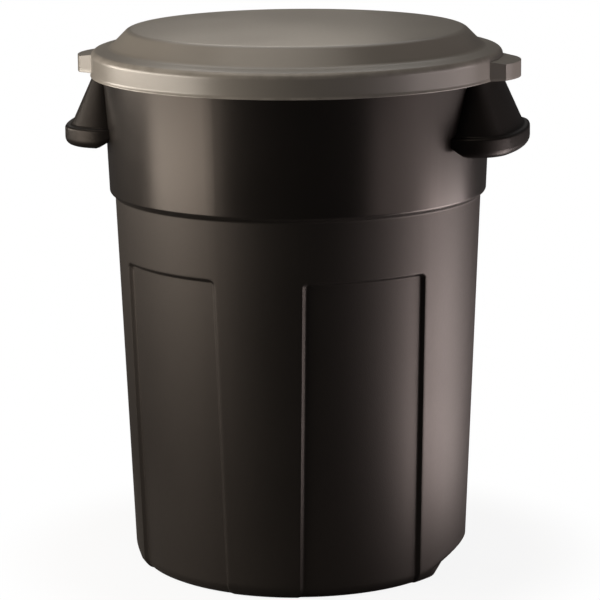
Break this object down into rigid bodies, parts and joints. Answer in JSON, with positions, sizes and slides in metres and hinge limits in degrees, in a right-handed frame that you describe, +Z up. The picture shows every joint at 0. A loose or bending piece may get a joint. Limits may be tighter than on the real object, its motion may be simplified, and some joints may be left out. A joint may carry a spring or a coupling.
{
  "type": "trash can",
  "caption": "Round tapered utility can with a raised upper band, sunk side panels, hooded grab handles and a domed lift-off lid with finger tabs.",
  "frame": {"origin": "centre of the base, on the ground", "axes": "+Z up along the axis of the can, handles and lid tabs along X, plain front towards -Y"},
  "size_m": [0.624, 0.553, 0.7325],
  "materials": {
    "body_plastic": "satin moulded black",
    "lid_plastic": "satin moulded warm grey"
  },
  "bodies": {
    "can": {"container": "body_plastic", "handle_left": "body_plastic", "handle_right": "body_plastic"},
    "lid": {"lid": "lid_plastic"}
  },
  "joints": [
    {"name": "lid_lift", "type": "slide", "parent": "can", "child": "lid", "axis": [0, 0, 1], "range_m": [0, 0.4]}
  ]
}
